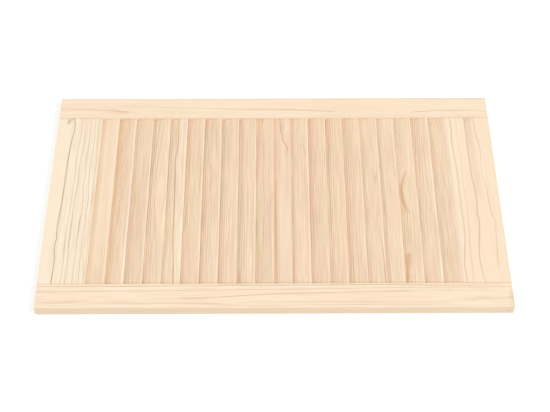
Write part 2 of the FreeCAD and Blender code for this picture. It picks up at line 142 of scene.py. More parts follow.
# Each board has two tones of wood, and growth lines (rings) so many mm apart. Its lines and patches are
# counted from its middle, along X and across Y on a stile, and the other way on a rail.
frameBoards = {
    "left_stile": {
        "tones": ("cream", "peach"), "rings": 4.2, "ringStrength": 0.14, "seed": 3, "fibreDepth": 0.045,
        "lines": [
            grainLine("ivory", 4.5, (-345, 12, 0.3), (-120, 13.2, 0.5), (0, 14, 0.5), (160, 14.5, 0.3),
                      (220, 15, 0)),
            grainLine("ivory", 3.6, (-345, 3.5, 0.5), (-160, 6.5, 0.4), (0, 7.5, 0.5), (100, 8, 0.5),
                      (150, 9, 0)),
            grainLine("ivory", 3.4, (-310, -16, 0), (-280, -16, 0.4), (-100, -16.6, 0.4),
                      (-60, -16.6, 0)),
            grainLine("late", 2.4, (-345, 16.5, 0.5), (-200, 16, 0.8), (-110, 16.8, 0.6),
                      (-40, 17.2, 0.9), (40, 16.9, 0.8), (150, 17.6, 1), (240, 16, 0.8), (300, 15, 0.2),
                      (345, 14, 0)),
            grainLine("brown", 2.1, (-345, 7.2, 0.55), (-230, 7.8, 0.55), (-130, 9, 0.45),
                      (20, 10.5, 0.55), (210, 12.5, 0.45), (345, 14, 0.2)),
            grainLine("late", 2.4, (-140, -3.4, 0), (-110, -3.9, 0.5), (-85, -2.8, 0.7),
                      (-55, -0.8, 0.8), (0, 2.4, 0.9), (60, 3.8, 0.95), (130, 5.6, 0.6),
                      (165, 6.4, 0.7), (205, 7.2, 0.2), (240, 8, 0)),
            grainLine("tan", 3.4, (-60, -11.5, 0), (30, -11.2, 0.6), (185, -11.6, 0.6), (240, -12, 0)),
            grainLine("tan", 4.4, (-275, -12, 0), (-235, -12.6, 0.5), (-150, -13, 0.8),
                      (-100, -13.4, 0.8), (-60, -14.5, 0)),
            grainLine("late", 2.5, (-95, -16.8, 0), (-60, -17, 0.35), (0, -17, 0.35), (45, -16.5, 0.45),
                      (85, -16, 0.5), (160, -15.4, 0.4), (230, -16.6, 0.3), (300, -17.4, 0)),
            # painted shade on the rounded near edge and the side below it
            grainLine("tan", 3.8, (-345, -20.7, 0.9), (-230, -20.7, 0.5), (345, -20.7, 0.5)),
        ],
        "patches": [
            softPatch("tan", 0.4, (-300, -10.5), (50, 4), turn=-2),
            softPatch("tan", 0.35, (-222, -9.5), (40, 3)),
            softPatch("tan", 0.45, (-120, -4), (36, 2.8), turn=-1),
            softPatch("tan", 0.42, (312, -6), (60, 4), turn=-1),
            softPatch("rose", 0.5, (280, 17), (60, 4)),
            softPatch("tan", 0.4, (242, 10.2), (32, 2)),
            softPatch("brown", 0.3, (344, -5), (7, 18)),
        ],
    },
    "right_stile": {
        "tones": ("cream", "peach"), "rings": 6, "ringStrength": 0.08, "seed": 11, "fibreDepth": 0.03,
        "streakDepth": 0.02,
        "lines": [
            grainLine("honey", 22, (-345, -20, 0.16), (345, -20, 0.16)),
            grainLine("brown", 2.5, (-345, -2.1, 0.35), (-300, -2.9, 0.4), (-272, -4.3, 0.55),
                      (-250, -6, 0.55), (-228, -8.4, 0.3), (-215, -9.4, 0)),
            grainLine("brown", 2.6, (-250, 4.4, 0), (-240, 4.2, 0.3), (-192, 3.6, 0.3),
                      (-180, 1.7, 0.4), (-130, 0.4, 0.4), (-90, -1.4, 0.5), (-50, -2.8, 0.55),
                      (0, -3.4, 0.7), (45, -4.8, 0.8), (62, -6.2, 0.8), (85, -7.6, 0.7),
                      (102, -8.4, 0)),
            grainLine("brown", 2.6, (222, -8, 0), (238, -9, 0.65), (252, -7.6, 0.7), (275, -6.7, 0.7),
                      (300, -6.5, 0.5), (322, -7, 0.4), (345, -9, 0.5)),
            # painted shade on the rounded far edge
            grainLine("tan", 4.5, (-345, 19.4, 0.5), (0, 19.4, 0.5), (345, 19.4, 0.8)),
        ],
        "patches": [
            softPatch("brown", 0.35, (-254, -5.6), (16, 2), turn=4),
            softPatch("brown", 0.3, (-240, -7.6), (15, 1.8), turn=4),
            softPatch("brown", 0.3, (-246, -10.2), (16, 2)),
            softPatch("honey", 0.4, (-258, -9), (24, 3)),
            softPatch("honey", 0.16, (-270, 0), (110, 16)),
            softPatch("straw", 0.45, (-155, -8), (45, 8)),
            softPatch("straw", 0.4, (-30, 15), (40, 3)),
        ],
    },
    "top_rail": {
        "tones": ("ivory", "cream"), "rings": 6.2, "ringStrength": 0.14, "seed": 7, "slope": 0.012,
        "fibreDepth": 0.09, "streakDepth": 0.05, "calm": (-12, -17),
        "joints": {1: (2.4, 0.5), -1: (0.9, 0.4)},
        "lines": [
            grainLine("honey", 13, (-156, 35, 0.5), (10, 35, 0.5), (50, 35, 0.15), (125, 35, 0.15),
                      (156, 35, 0.4)),
            grainLine("resin", 3.1, (-156, -15, 0.85), (-116, -14.3, 0.85), (-91, -16.2, 0.95),
                      (-75, -15.2, 0.85), (-66, -16, 0.85), (-41, -15.5, 0.85), (-10, -13.8, 0.85),
                      (40, -13, 0.75), (84, -12.2, 0.95), (118, -10, 0.75), (134, -8.2, 0.7),
                      (156, -10.5, 0.7)),
            grainLine("honey", 4, (-156, -13, 0.2), (-135, -12.8, 0.35), (-40, -13, 0.35),
                      (-10, -13, 0)),
            grainLine("late", 1.9, (-156, -2.5, 0.7), (-128, -0.6, 0.6), (-91, -2, 0.8),
                      (-60, -1.8, 0.7), (-3, 0.5, 0.75), (27, 1, 0.75), (72, 0.5, 0.65), (122, 3, 0.8),
                      (156, 2, 0.8)),
            grainLine("late", 2, (-156, 5, 0.8), (-116, 5.8, 0.7), (-91, 4.4, 1), (-72, 4.4, 1),
                      (-50, 5, 0.9), (-10, 5.2, 0.8), (24, 7.4, 0.8), (59, 6.5, 0.7), (97, 9, 0.8),
                      (156, 8.8, 0.7)),
            grainLine("resin", 2, (-94, 4.5, 0), (-78, 4.3, 0.5), (-60, 4.8, 0.4), (-42, 5.2, 0)),
            grainLine("late", 1.9, (-156, 20.6, 0.4), (-60, 20.5, 0.3), (-22, 18.6, 0.6),
                      (-3, 17.4, 0.8), (24, 15.6, 0.9), (40, 17.4, 0.8), (60, 16.2, 0.8),
                      (125, 17.4, 0.8), (156, 16.7, 0.8)),
            grainLine("resin", 2.3, (-156, 15.6, 0.3), (-130, 16.2, 0.35), (-92, 15.8, 0.5),
                      (-70, 16, 0.8), (-56, 16.8, 1), (-44, 17, 0.8), (-30, 18.2, 0)),
            grainLine("late", 1.7, (-156, 24.6, 0.7), (-90, 23.6, 0.8), (-40, 25, 0.9), (0, 25.6, 1),
                      (34, 23.8, 1), (100, 24.6, 0.9), (156, 23.8, 0.8)),
            grainLine("late", 1.7, (-156, 30.5, 0.4), (-130, 31, 0.4), (-105, 26.5, 0.4),
                      (-60, 29.5, 0.4), (0, 32, 0.8), (30, 31, 0.7), (72, 32.4, 0.8), (100, 31, 0.9),
                      (156, 30, 0.8)),
        ],
        "patches": [
            softPatch("cream", 0.6, (0, -26), (230, 12)),
            softPatch("brown", 0.6, (150, -18.5), (8, 3.4)),
            softPatch("brown", 0.6, (153.5, -13), (4, 4.5)),
            softPatch("honey", 0.5, (140, -8.5), (14, 2)),
            softPatch("ivory", 0.6, (124, -0.5), (30, 2)),
            softPatch("rose", 0.4, (-108, -19.5), (56, 5)),
            softPatch("straw", 0.3, (138, 18), (46, 20)),
        ],
    },
    "bottom_rail": {
        "tones": ("cream", "peach"), "rings": 7, "ringStrength": 0.08, "seed": 5, "fibreDepth": 0.02,
        "streakDepth": 0.012, "sidePaleInShade": 0, "joints": {1: (2.4, 0.5), -1: (0.9, 0.6)},
        "lines": [
            grainLine("brown", 3.2, (-156, -29.2, 0.5), (-142, -29.5, 0.5), (-130, -30.6, 0.5),
                      (-98, -27.4, 0.6), (-62, -24.6, 0.55), (-30, -25.2, 0.5), (32, -25.2, 0.5),
                      (55, -25.4, 0.5), (76, -26.8, 0.5), (109, -28.2, 0.6), (134, -26.8, 0.5),
                      (156, -28, 0.5)),
            grainLine("late", 2.6, (-156, -21, 0.4), (-140, -19.8, 0.45), (-100, -19.5, 0.6),
                      (-55, -17.2, 0.6), (0, -16.8, 0.5), (24, -18, 0.4), (70, -16.6, 0.4),
                      (109, -18.4, 0.35), (156, -17.4, 0.4)),
            grainLine("brown", 4.2, (-156, -2.4, 0.45), (-131, -6, 0.45), (-104, -6.6, 0.6),
                      (-66, -2.4, 0.6), (-46, -0.7, 0.6), (-35, -2.2, 0.5), (-15, -0.6, 0.6),
                      (20, -1.6, 0.65), (36, -3.4, 0.55), (66, -3.6, 0.65), (100, -4, 0.7),
                      (127, -3.8, 0.65), (156, -4.4, 0.5)),
            grainLine("late", 3, (-130, 19, 0), (-116, 19.2, 0.6), (-98, 20.6, 0.55), (-66, 22, 0.4),
                      (-48, 24, 0.6), (-36, 20.4, 0.55), (-16, 17.8, 0.6), (14, 17, 0.4), (39, 13, 0.3),
                      (69, 14.4, 0.4), (99, 15.2, 0.55), (119, 12, 0.55), (156, 10.2, 0.55)),
            grainLine("late", 1.4, (-156, -34.5, 0.3), (-40, -33.6, 0.4), (60, -33.2, 0.4),
                      (156, -34, 0.3)),
        ],
        "patches": [
            softPatch("tan", 0.5, (128, 1.5), (70, 7), turn=1),
            softPatch("brown", 0.25, (153, 3), (8, 12)),
            softPatch("tan", 0.35, (40, 4.5), (70, 7), turn=2),
            softPatch("rose", 0.2, (-60, 5), (150, 36)),
            softPatch("ivory", 0.5, (90, -31), (60, 3)),
            softPatch("ivory", 0.4, (40, 26), (80, 6), turn=3),
        ],
    },
}

# Slats are counted from the top rail. Along them is Y, and mm across are from the nose back. Pale lines at
# about -25 to -27 mm across are painted light over the shade from the slat above.
slatLook = {
    "seed": 20,             # each slat adds its number
    "thickness": 5,         # mm, as in the frame
    "rings": 3.4,           # mm from one growth line to the next
    "ringStrength": 1.1,
    "ringTilt": 0.7,
    "streak": (1.7, 55),
    "streakDepth": 0.08,
    "fibreDepth": 0.08,
    # the pale nose is mostly a painted highlight
    "arris": 3.0,
    "arrisPaleAndHighlight": 0.9,
    "sideShade": 0,
    "sidePaleInShade": 0,
    "middle": -0.5,
    # a painted shade 5 mm wide where the slats' far ends run under the right stile
    "joints": {1: (5, 0.07)},
    "lapped": True,
    "tail": 7,              # mm, how far the painted shade of the slat above reaches out from under it
    "tailGrain": (8, 70),   # mm
    # how dark that painted shade gets
    "tailShade": 0.1,
    "endBrown": 0.2,        # how dark the painted shade is on the slats' ends along the left stile
    "endReach": (4.2, 1.4),     # mm from the stile, from where to where the painted shade comes in
    "endSlope": 0.14,       # mm that it is wider per mm from the nose, where the slat lies deeper
    "paleInShade": 0.9,           # how much of the paler painted tone lies where two slats overlap, lifting the shade in the gap
    "lap": 7,               # mm of a slat's underside that lie over the next one
    "lapEdge": 1.5,         # mm in which the paler tone comes in
    "topSide": (-2.4, -1),  # mm of height, from where to where it is a slat's top
    "underside": (-3, -4),
}
# Nearly white and ivory lines at about -1.5 mm across are a painted highlight along a slat's nose.
slatBoards = {
    1: {
        "tones": ("peach", "straw"), "ringStrength": 0.05, "streakDepth": 0.015, "fibreDepth": 0.05,
        # a stronger painted shadow line beside the top rail, and pale lines painting light over the deep
        # shade beyond it
        "tailShade": 0.2,
        "lines": [
            grainLine("late", 1.4, (-160, -6, 0.6), (-148, -6.4, 0.8), (-100, -8.2, 0.7), (-85, -9, 0)),
            grainLine("late", 1.4, (-160, -3.8, 0.5), (-110, -4, 0.5), (-80, -4, 0)),
            grainLine("cream", 14, (-160, -21, 0.7), (60, -21, 0.8), (160, -21, 0.7)),
            grainLine("ivory", 5, (-160, -26.6, 0.6), (-95, -26.6, 0.6), (-55, -26.6, 0)),
        ],
        "patches": [
            softPatch("cream", 0.6, (0, -4), (110, 3), turn=1),
            softPatch("tan", 0.3, (-142, -14), (26, 10)),
        ],
    },
    2: {
        "tones": ("straw", "rose"), "rings": 2.5, "wanderBy": 1.7, "wander": (8, 34),
        "ringStrength": 1.15,
        "lines": [
            grainLine("noseHighlight", 3.4, (-160, -1.6, 0.6), (-140, -1.6, 1), (-113, -1.6, 1),
                      (-90, -1.6, 0.6), (-10, -1.6, 0.8), (125, -1.6, 0.6), (150, -1.6, 0)),
            grainLine("honey", 11, (-160, -23, 0.9), (-135, -23, 0.9), (-105, -22.2, 0.8),
                      (-80, -22.6, 0.8), (-50, -22.6, 0.6), (-10, -24.4, 0.5), (28, -24, 0.7),
                      (48, -24, 0.9), (85, -22.5, 0.8), (120, -24, 0.7), (160, -23.5, 0.9)),
            grainLine("cream", 3.4, (-160, -27, 0.4), (-120, -27, 0.5), (-70, -27, 0.3),
                      (-35, -27, 0.5), (0, -27, 0)),
        ],
        "patches": [softPatch("cream", 0.3, (-75, -16.5), (38, 3.5))],
    },
    3: {
        "tones": ("rose", "straw"), "ringStrength": 0.5,
        "lines": [
            grainLine("noseHighlight", 3, (-160, -1.2, 0.7), (-126, -1.2, 0.9), (30, -1.2, 0.5),
                      (70, -1.2, 0)),
            grainLine("cream", 3.4, (-160, -27, 0.4), (0, -27, 0.4), (100, -27, 0.7), (140, -27, 0)),
            grainLine("honey", 4.5, (-160, -20.4, 0.8), (-135, -20.4, 0.8), (-95, -20.2, 0.5),
                      (-65, -20, 0)),
        ],
        "patches": [
            softPatch("tan", 0.35, (115, -19.8), (48, 4)),
            softPatch("tan", 0.32, (-60, -14), (170, 24)),
            softPatch("honey", 0.95, (-4, -22.2), (36, 3.4)),
        ],
    },
    4: {
        "tones": ("straw", "peach"), "wanderBy": 1.6,
        "lines": [
            grainLine("late", 1.7, (40, -27, 0), (60, -25, 0.6), (110, -20, 0.6), (160, -17, 0.5)),
            grainLine("late", 1.7, (-160, -7, 0.4), (-105, -9, 0.7), (-60, -14.5, 0.6), (0, -19.2, 0.6),
                      (30, -19.6, 0.6), (56, -18.4, 0.7), (100, -14, 0.5), (150, -11, 0.4)),
            grainLine("late", 1.5, (-160, -17, 0.5), (-70, -20.5, 0.6), (-10, -25, 0.5), (20, -26, 0)),
        ],
        "patches": [
            softPatch("tan", 0.25, (-120, -14), (70, 20)),
            softPatch("cream", 0.4, (-43, -22.4), (22, 2.6)),
            softPatch("honey", 0.35, (-46, -1), (28, 2.4)),
        ],
    },
    5: {
        "tones": ("straw", "peach"),
        "lines": [
            grainLine("cream", 17, (-160, -2, 0.9), (0, -6.5, 0.9), (160, -7, 0.9)),
            grainLine("ivory", 4.4, (-12, -25, 0), (40, -25.2, 0.6), (70, -25.4, 1), (105, -25.4, 0.9),
                      (135, -25.4, 0)),
            grainLine("noseHighlight", 3, (-100, -1.2, 0), (-75, -1.2, 0.6), (-10, -1.2, 0.6),
                      (30, -1.2, 0)),
            grainLine("late", 2.2, (-8, -5, 0), (26, -5.2, 0.5), (60, -5.3, 0.4), (160, -5.4, 0.3)),
            grainLine("resin", 2.3, (-160, -9.8, 1), (-112, -11.6, 0.9), (-86, -13.3, 0.8),
                      (-48, -14.2, 0.8), (0, -15.5, 1), (48, -16.3, 1), (84, -16.8, 0.9),
                      (90, -15.5, 0.9), (160, -16, 0.8)),
        ],
        "patches": [
            softPatch("tan", 0.4, (125, -21), (40, 5)),
            softPatch("cream", 0.4, (-12, -21.2), (80, 4)),
            softPatch("cream", 0.5, (-120, -20), (60, 9)),
        ],
    },
    6: {
        "tones": ("straw", "rose"),
        "lines": [
            grainLine("honey", 7, (-40, -24, 0), (60, -23, 0.3), (160, -23, 0.5)),
            grainLine("cream", 4.5, (-135, -24, 0), (-100, -24.5, 0.5), (-48, -26.4, 0.7),
                      (0, -26.6, 0.5), (30, -26.6, 0)),
            grainLine("tan", 4, (95, -10.2, 0), (130, -10.2, 0.5), (160, -10.2, 0.4)),
            grainLine("late", 1.4, (10, -4.4, 0), (22, -4.4, 0.8), (84, -4.6, 0.8), (100, -4.6, 0)),
        ],
        "patches": [
            softPatch("tan", 0.4, (-41, -10.8), (34, 2.6)),
            softPatch("tan", 0.35, (-58, -3.8), (58, 2.6)),
        ],
    },
    7: {
        "tones": ("straw", "rose"), "pale": 0.1,
        "lines": [
            grainLine("late", 1.5, (10, -16.4, 0), (24, -16.4, 0.8), (58, -16.8, 0.9), (70, -16.8, 0)),
            grainLine("late", 1.6, (70, -7.6, 0), (96, -8, 0.7), (160, -10.4, 0.7)),
        ],
        "patches": [softPatch("tan", 0.25, (120, -14), (70, 20))],
    },
    8: {
        "tones": ("straw", "rose"), "pale": 0.15,
        "lines": [
            grainLine("tan", 6, (-115, -26, 0), (-90, -25, 0.2), (-50, -23.5, 0.4), (40, -24.5, 0.4),
                      (160, -25, 0.4)),
        ],
        "patches": [
            softPatch("tan", 0.35, (70, -9.2), (36, 2.6)),
            softPatch("tan", 0.35, (56, -19.8), (30, 2.6)),
        ],
    },
    9: {
        "tones": ("rose", "straw"), "pale": 0.18,
        "lines": [
            grainLine("tan", 5, (-160, -17.8, 0.6), (-135, -17.8, 0.6), (-75, -17.8, 0.4),
                      (-45, -17.8, 0)),
            grainLine("cream", 4, (100, -5.2, 0), (130, -5.2, 0.6), (160, -5.2, 0.7)),
            grainLine("cream", 5, (75, -24.8, 0), (110, -24.8, 0.5), (160, -24.8, 0.5)),
            grainLine("tan", 11, (-160, -24.5, 1), (-110, -23.5, 0.5), (-50, -22, 0.5),
                      (34, -22.5, 0.5), (60, -23, 0)),
            grainLine("cream", 1.8, (-80, -15.6, 0), (-60, -15.6, 0.8), (40, -15.8, 0.8),
                      (60, -15.8, 0)),
            grainLine("cream", 2.2, (-160, -7.4, 0.8), (-90, -8, 0.6), (-55, -9.8, 0.9),
                      (50, -9.8, 0.9), (70, -9.8, 0)),
        ],
        "patches": [softPatch("russet", 0.4, (-146, -23.5), (18, 5))],
    },
    10: {
        "tones": ("rose", "straw"), "ringStrength": 0.75,
        "lines": [
            grainLine("cream", 5, (-92, -25.2, 0), (-70, -25.2, 0.5), (-45, -25.2, 0.5),
                      (-20, -25.2, 0)),
            grainLine("late", 1.7, (-160, -19, 0.5), (-110, -16.4, 0.8), (-70, -15.6, 0.9),
                      (-10, -15.2, 0.7), (40, -16.8, 0.8), (98, -16.4, 0.8), (110, -17, 0.4),
                      (150, -17.6, 0.8)),
            grainLine("late", 1.6, (-90, -5.6, 0), (-58, -5.6, 0.8), (-25, -6.2, 0.9), (0, -6, 0)),
        ],
        "patches": [
            softPatch("tan", 0.25, (-110, -14), (190, 30)),
            softPatch("cream", 0.5, (15, -23.8), (38, 3)),
            softPatch("cream", 0.4, (-122, -3.8), (30, 3)),
        ],
    },
    11: {
        "tones": ("rose", "peach"), "ringStrength": 0.2, "streakDepth": 0.03, "arrisPaleAndHighlight": 0.1,
        "lines": [
            grainLine("tan", 5, (-160, -19.8, 0.6), (-135, -19.8, 0.6), (-70, -19.8, 0.4),
                      (-30, -19.8, 0)),
            grainLine("brown", 3.4, (80, -6, 0), (95, -6, 0.5), (101, -8.4, 0.8), (110, -12.2, 0.8),
                      (122, -14, 0.6), (136, -16.4, 0.7), (160, -17.4, 0.7)),
            grainLine("russet", 7.5, (-160, -24.2, 0.5), (-120, -24.6, 0.5), (-60, -24.8, 0.5),
                      (25, -25.2, 0.3), (40, -25.2, 0)),
            grainLine("seamAndShade", 4, (-160, -1.4, 0.18), (160, -1.4, 0.18)),
        ],
        "patches": [
            softPatch("cream", 0.65, (-58, -11), (95, 11)),
            softPatch("cream", 0.7, (140, -7), (24, 5)),
            softPatch("cream", 0.5, (-137, -4.6), (26, 3)),
            softPatch("brown", 0.3, (130, -12.4), (27, 3.2), turn=3),
            softPatch("tan", 0.4, (85, -9), (14, 5)),
        ],
    },
    12: {
        "tones": ("straw", "rose"), "pale": 0.15, "ringStrength": 0.35,
        "lines": [
            grainLine("brown", 4, (-160, -26.6, 0.4), (-130, -26.6, 0.4), (-60, -26.6, 0.25),
                      (-20, -26.6, 0)),
            grainLine("late", 1.5, (78, -3, 0), (85, -5.4, 0.6), (98, -7, 0.8), (106, -7.4, 0)),
        ],
    },
    13: {
        "tones": ("rose", "straw"),
        "lines": [
            grainLine("honey", 7, (-160, -26, 0.1), (-40, -26, 0.1), (20, -25, 0.4), (160, -25, 0.6)),
            grainLine("cream", 4, (-55, -4.2, 0), (-25, -4.2, 0.9), (25, -4.2, 0.9), (55, -4.2, 0)),
        ],
        "patches": [softPatch("tan", 0.15, (-20, -14), (240, 30))],
    },
    14: {
        "tones": ("straw", "rose"),
        "lines": [
            grainLine("cream", 4.5, (-160, -26.4, 0.6), (-120, -26.4, 0.8), (-60, -26.6, 0.7),
                      (0, -26.6, 0.4), (60, -26.6, 0.6), (105, -26.6, 0)),
            grainLine("late", 1.8, (-20, -23.8, 0.2), (25, -24.4, 0.5), (60, -23.6, 0.7),
                      (98, -22, 0.7), (140, -21.6, 0.2)),
        ],
        "patches": [softPatch("tan", 0.4, (-138, -8.2), (24, 4))],
    },
    15: {
        "tones": ("rose", "straw"),
        "lines": [
            grainLine("honey", 7, (-160, -25, 0.2), (-110, -24, 0.5), (-10, -24, 0.5), (10, -24, 0)),
        ],
        "patches": [softPatch("cream", 0.5, (-130, -7.2), (28, 3))],
    },
    16: {
        "tones": ("straw", "rose"), "pale": 0.15, "ringStrength": 0.35,
        "lines": [
            grainLine("late", 1.6, (-5, -8.4, 0), (10, -8.6, 0.4), (30, -8.6, 0.7), (42, -9.4, 0.9),
                      (52, -11.4, 0.8), (65, -12.5, 0.4), (108, -11.2, 0.6), (135, -12, 0)),
            grainLine("brown", 3.2, (-160, -2.4, 0.7), (-135, -2.6, 0.8), (-112, -3, 0.7),
                      (-95, -3.8, 0.6), (-72, -5, 0.4), (-50, -6, 0)),
            grainLine("tan", 6, (-160, -21.2, 0.4), (-50, -21.2, 0.4), (-20, -21.2, 0)),
        ],
        "patches": [softPatch("tan", 0.7, (36, -7), (11, 3), turn=-10)],
    },
    17: {
        "tones": ("rose", "straw"), "pale": 0.2, "ringStrength": 0.3,
        "lines": [
            grainLine("brown", 1.7, (36, -4.4, 0), (42, -4.6, 0.7), (54, -5.2, 0.8), (60, -5.4, 0)),
            grainLine("ivory", 4, (-125, -1.6, 0), (-100, -1.6, 0.6), (-60, -1.6, 0.6), (-35, -1.6, 0)),
            grainLine("tan", 6, (-160, -24.4, 0.8), (-90, -23.4, 0.6), (10, -23.6, 0.8), (36, -24, 0.8),
                      (90, -25.5, 0.4), (160, -25.5, 0.4)),
        ],
        "patches": [softPatch("honey", 0.4, (95, -5), (42, 2))],
    },
    18: {
        "tones": ("straw", "peach"), "wanderBy": 1.8, "wander": (10, 30),
        "lines": [
            grainLine("cream", 10, (-15, -27, 0), (0, -27, 0.5), (30, -27, 0.8), (60, -26, 0.9),
                      (100, -24, 0.8), (160, -25, 0.5)),
            grainLine("russet", 9, (-32, -13.6, 0), (-25, -16.6, 0.4), (-18, -19.6, 0.6),
                      (-8, -22.2, 0.7), (5, -23.8, 0.75), (18, -23.4, 0.7), (34, -20, 0.6),
                      (45, -16, 0.45), (52, -14, 0)),
        ],
        "patches": [
            softPatch("russet", 0.55, (-114, -21.4), (23, 6.5)),
            softPatch("russet", 0.6, (-138, -25), (26, 4), turn=-4),
            softPatch("tan", 0.35, (-35, -6.2), (27, 3)),
            softPatch("cream", 0.35, (12, -18), (15, 4.4)),
        ],
    },
    19: {
        "tones": ("straw", "rose"), "pale": 0.15, "slope": 0.05,
        "lines": [
            grainLine("ivory", 4.6, (-160, -1.8, 0.8), (-96, -1.8, 0.9), (-10, -1.8, 0.5),
                      (60, -1.8, 0.6), (160, -1.8, 0.6)),
            grainLine("cream", 4, (-95, -27, 0), (-45, -27, 0.8), (30, -27, 0.6), (70, -27, 0)),
        ],
        "patches": [
            softPatch("tan", 0.3, (-147, -16), (22, 8)),
            softPatch("cream", 0.55, (-136, -8), (26, 3)),
        ],
    },
    20: {
        "tones": ("rose", "straw"), "wanderBy": 1.8, "wander": (10, 30), "ringStrength": 0.8,
        "lines": [
            grainLine("cream", 4, (-160, -27, 0.5), (-60, -27, 0.5), (-10, -27, 0.2), (60, -27, 0.5),
                      (160, -27, 0.6)),
        ],
        "patches": [
            softPatch("tan", 0.3, (-100, -14), (80, 14)),
            softPatch("cream", 0.45, (135, -15), (24, 4)),
        ],
    },
}


def streaks(tree, board, spot, grain, lowest=0.0, highest=1.0, detail=2, soft=0.2):
    # cloudy streaks along the grain, of this size across and along in mm, out of step with the other sizes
    shift = [board["seed"] * step for step in board["seedStep"]]
    stretched = addNode(tree, "ShaderNodeMapping", {
        "Vector": spot["face"],
        "Location": (shift[0], shift[1] + grain[0], shift[2]),
        "Scale": (1 / grain[0], 1 / grain[1], 1 / grain[0]),
    })[0]
    cloud = addNode(tree, "ShaderNodeTexNoise", {"Vector": stretched, "Scale": 1, "Detail": detail})["Fac"]
    return addNode(tree, "ShaderNodeMapRange", {
        "Value": cloud, "From Min": 0.5 - soft, "From Max": 0.5 + soft,
        "To Min": lowest, "To Max": highest})[0]


def growthRings(tree, board, spot):
    # where a point lies across the rings, which lean into the board, slope along it and wander
    bends = streaks(tree, board, spot, board["wander"], -board["wanderBy"], board["wanderBy"])
    lean = addNode(tree, "ShaderNodeMath", {
        0: spot["height"], 1: board["ringCurve"], 2: board["ringTilt"]}, operation="MULTIPLY_ADD")[0]
    leaning = addNode(tree, "ShaderNodeMath", {
        0: lean, 1: spot["height"], 2: spot["across"]}, operation="MULTIPLY_ADD")[0]
    sloped = addNode(tree, "ShaderNodeMath", {
        0: spot["along"], 1: -board["slope"], 2: leaning}, operation="MULTIPLY_ADD")[0]
    ringPlace = addNode(tree, "ShaderNodeMath", {0: sloped, 1: bends}, operation="ADD")[0]
    steps = addNode(tree, "ShaderNodeMath", {0: ringPlace, 1: board["rings"]}, operation="DIVIDE")[0]
    unevenness = addNode(tree, "ShaderNodeTexNoise", {
        "W": steps, "Scale": board["uneven"], "Detail": 1}, noise_dimensions="1D")["Fac"]
    phase = addNode(tree, "ShaderNodeMath", {
        0: unevenness, 1: 2 * board["jitter"], 2: steps}, operation="MULTIPLY_ADD")[0]
    ringPart = addNode(tree, "ShaderNodeMath", {0: phase}, operation="FRACT")[0]
    ringNumber = addNode(tree, "ShaderNodeMath", {0: phase}, operation="FLOOR")[0]

    # a ring darkens slowly to its summer growth and ends sharply, and some rings are darker than others
    shades = [
        addNode(tree, "ShaderNodeMapRange", {
            "Value": ringPart, "From Min": start, "From Max": end}, interpolation_type="SMOOTHSTEP")[0]
        for start, end in (board["ringRise"], board["ringFall"])
    ]
    shades.append(streaks(tree, board, spot, board["breaks"], *board["breaksBy"]))
    summer = addNode(tree, "ShaderNodeTexWhiteNoise", {"W": ringNumber}, noise_dimensions="1D")["Value"]
    for shade in shades:
        summer = addNode(tree, "ShaderNodeMath", {0: summer, 1: shade}, operation="MULTIPLY")[0]
    return summer, leaning


def layTones(tree, colour, tones):
    # one after another, each by its share
    for share, tone in tones:
        colour = addNode(tree, "ShaderNodeMix", {
            0: share, 6: colour, 7: linear(pineTones[tone])}, data_type="RGBA")[2]
    return colour


def woodTones(tree, board, spot, summer):
    mottle = streaks(tree, board, spot, board["mottle"], detail=3)
    summerShare = addNode(tree, "ShaderNodeMath", {
        0: summer, 1: board["ringStrength"]}, operation="MULTIPLY")[0]
    return [(mottle, board["tones"][1]), (board["pale"], "cream"), (summerShare, "late")]


def lineTones(tree, board, spot, leaning, size):
    # each line has one curve for its place across the board and one for its strength
    length, width = size[:2]
    reach = 2 * width       # mm that the height of a curve stands for
    shiver = streaks(tree, board, spot, board["shiver"], -board["shiverBy"] / 2, board["shiverBy"] / 2)
    penPlace = addNode(tree, "ShaderNodeMath", {0: leaning, 1: shiver}, operation="ADD")[0]
    penPress = streaks(tree, board, spot, board["press"], *board["pressBy"])
    alongPart = addNode(tree, "ShaderNodeMapRange", {
        "Value": spot["along"], "From Min": -length / 2, "From Max": length / 2})[0]
    tones = []
    for line in board["lines"]:
        route = addNode(tree, "ShaderNodeFloatCurve", {"Value": alongPart}, points=[
            (0.5 + along / length, 0.5 + across / reach) for along, across, strength in line["points"]])[0]
        press = addNode(tree, "ShaderNodeFloatCurve", {"Value": alongPart}, points=[
            (0.5 + along / length, strength) for along, across, strength in line["points"]])[0]
        middle = addNode(tree, "ShaderNodeMath", {
            0: route, 1: reach, 2: -reach / 2}, operation="MULTIPLY_ADD")[0]
        away = addNode(tree, "ShaderNodeMath", {0: penPlace, 1: middle}, operation="SUBTRACT")[0]
        away = addNode(tree, "ShaderNodeMath", {0: away}, operation="ABSOLUTE")[0]
        near = addNode(tree, "ShaderNodeMapRange", {
            "Value": away, "From Min": line["width"] / 2, "From Max": 0,
        }, interpolation_type="SMOOTHSTEP")[0]
        press = addNode(tree, "ShaderNodeMath", {0: press, 1: penPress}, operation="MULTIPLY")[0]
        share = addNode(tree, "ShaderNodeMath", {
            0: near, 1: press}, operation="MULTIPLY", use_clamp=True)[0]
        tones.append((share, line["tone"]))
    return tones


